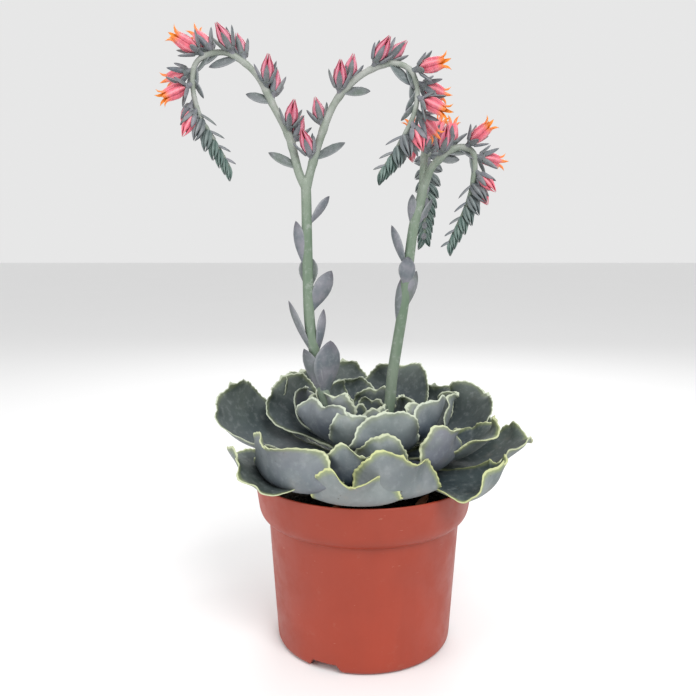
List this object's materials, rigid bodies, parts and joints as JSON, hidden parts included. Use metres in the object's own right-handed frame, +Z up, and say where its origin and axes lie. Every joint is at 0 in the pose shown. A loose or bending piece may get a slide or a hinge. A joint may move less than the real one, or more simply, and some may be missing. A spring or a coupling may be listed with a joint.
{
  "type": "potted echeveria",
  "caption": "Frilled blue-green succulent rosette with arching stalks of pink flowers, standing in soil in a round terracotta-coloured nursery pot.",
  "frame": {"origin": "centre of the pot's flat base, on the surface that the pot stands on", "axes": "+Z up along the pot's axis, -Y towards the front as pictured, +X to the right"},
  "size_m": [0.1979, 0.1484, 0.3303],
  "materials": {
    "terracotta_plastic": "reddish terracotta moulded plastic with a faint sheen",
    "soil": null,
    "leaf": null,
    "stalk": null,
    "petal": null
  },
  "bodies": {
    "root": {"pot": "terracotta_plastic", "soil": "soil", "rosette": "leaf", "stalk_left": "stalk", "stalk_right": "stalk", "bloom_a01": "petal", "bloom_a02": "petal", "bloom_a03": "petal", "bloom_a04": "petal", "bloom_a05": "petal", "bloom_a06": "petal", "bloom_a07": "petal", "bloom_a08": "petal", "bloom_a09": "petal", "bloom_a10": "petal", "bloom_a11": "petal", "bloom_a12": "petal", "bloom_b01": "petal", "bloom_b02": "petal", "bloom_b03": "petal", "bloom_b04": "petal", "bloom_b05": "petal", "bloom_b06": "petal", "bloom_b07": "petal", "bloom_b08": "petal", "bloom_b09": "petal", "bloom_b10": "petal", "bloom_b11": "petal", "bloom_b12": "petal", "bloom_c01": "petal", "bloom_c02": "petal", "bloom_c03": "petal", "bloom_c04": "petal", "bloom_c05": "petal", "bloom_c06": "petal", "bloom_d01": "petal", "bloom_d02": "petal", "bloom_d03": "petal", "bloom_d04": "petal", "bloom_d05": "petal"}
  },
  "joints": []
}
